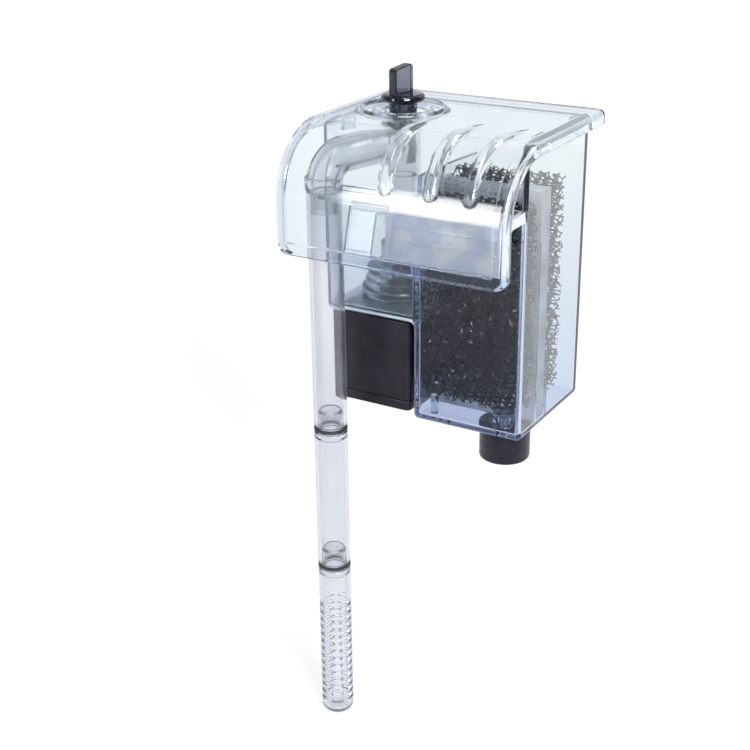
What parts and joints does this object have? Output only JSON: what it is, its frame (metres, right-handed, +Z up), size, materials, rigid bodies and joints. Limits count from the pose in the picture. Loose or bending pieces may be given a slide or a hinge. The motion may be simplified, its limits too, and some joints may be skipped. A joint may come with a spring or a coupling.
{
  "type": "hang on back filter",
  "caption": "Clear hang-on-back aquarium filter with lift-off lid, flow knob, intake tube with strainer, foam and carbon media, and a motor under the pump chamber.",
  "frame": {"origin": "underside of the bridge, midway along it, where it rests on the aquarium's rim", "axes": "+X to the right seen from inside the aquarium looking at the filter, +Y away from the aquarium, +Z up along the intake tube"},
  "size_m": [0.111, 0.1034, 0.3175],
  "materials": {
    "clear_tank": "clear injection-moulded styrene, faint blue tint at the edges",
    "clear_lid": "clear styrene, polished",
    "clear_tube": "clear tube, polished",
    "clear_pump": "clear moulded pump casing",
    "clear_frame": "clear cartridge frame",
    "motor_black": "black moulded plastic, fine satin grain",
    "rubber_black": "soft black rubber",
    "knob_smoke": "smoke-tinted translucent plastic",
    "nylon_white": "off-white nylon",
    "copper_wire": "enamelled copper wire",
    "steel_laminations": "stacked silicon-steel plates",
    "ferrite": "moulded ferrite magnet, dark grey",
    "ceramic_white": "polished ceramic",
    "steel_pin": "stainless steel",
    "foam_black": "open-cell reticulated polyurethane foam, black",
    "carbon_felt": "grey fibre pad filled with carbon"
  },
  "bodies": {
    "tank": {"tank_body": "clear_tank", "motor_housing": "motor_black", "motor_base_cap": "motor_black", "motor_gasket": "rubber_black", "stator_core": "steel_laminations", "coil_bobbin": "nylon_white", "coil_winding": "copper_wire", "cord_gland": "rubber_black", "impeller_shaft": "ceramic_white", "lower_shaft_bush": "rubber_black", "upper_shaft_bush": "rubber_black", "volute_casing": "clear_pump", "volute_cover": "clear_pump", "riser_elbow": "clear_tube", "stem_seal": "rubber_black", "foam_front": "foam_black", "foam_back": "foam_black", "cartridge_frame": "clear_frame", "carbon_pad": "carbon_felt", "cam_pin": "steel_pin"},
    "lid": {"lid": "clear_lid"},
    "flow_valve": {"flow_knob": "knob_smoke", "valve_gate": "nylon_white"},
    "impeller": {"impeller_magnet": "ferrite", "impeller_blades": "motor_black"},
    "intake": {"intake_tube": "clear_tube"},
    "extension": {"extension_tube": "clear_tube", "upper_o_ring": "rubber_black"},
    "strainer": {"strainer": "clear_tube", "lower_o_ring": "rubber_black"},
    "cam": {"levelling_cam": "motor_black"}
  },
  "joints": [
    {"name": "lid_lift", "type": "slide", "parent": "tank", "child": "lid", "axis": [0, 0, 1], "range_m": [0, 0.085]},
    {"name": "flow_knob_turn", "type": "hinge", "parent": "tank", "child": "flow_valve", "pos_m": [-0.0272, 0.0385, 0.04], "axis": [0, 0, 1], "range_deg": [-90, 0]},
    {"name": "impeller_spin", "type": "hinge", "parent": "tank", "child": "impeller", "pos_m": [-0.0272, 0.0385, -0.07], "axis": [0, 0, 1], "continuous": true},
    {"name": "intake_tube_pull", "type": "slide", "parent": "tank", "child": "intake", "axis": [0, 0, -1], "range_m": [0, 0.016]},
    {"name": "extension_tube_pull", "type": "slide", "parent": "intake", "child": "extension", "axis": [0, 0, -1], "range_m": [0, 0.016]},
    {"name": "strainer_pull", "type": "slide", "parent": "extension", "child": "strainer", "axis": [0, 0, -1], "range_m": [0, 0.016]},
    {"name": "levelling_cam_turn", "type": "hinge", "parent": "tank", "child": "cam", "pos_m": [0.0375, 0.0176, -0.109], "axis": [0, 0, 1], "range_deg": [0, 180]}
  ]
}
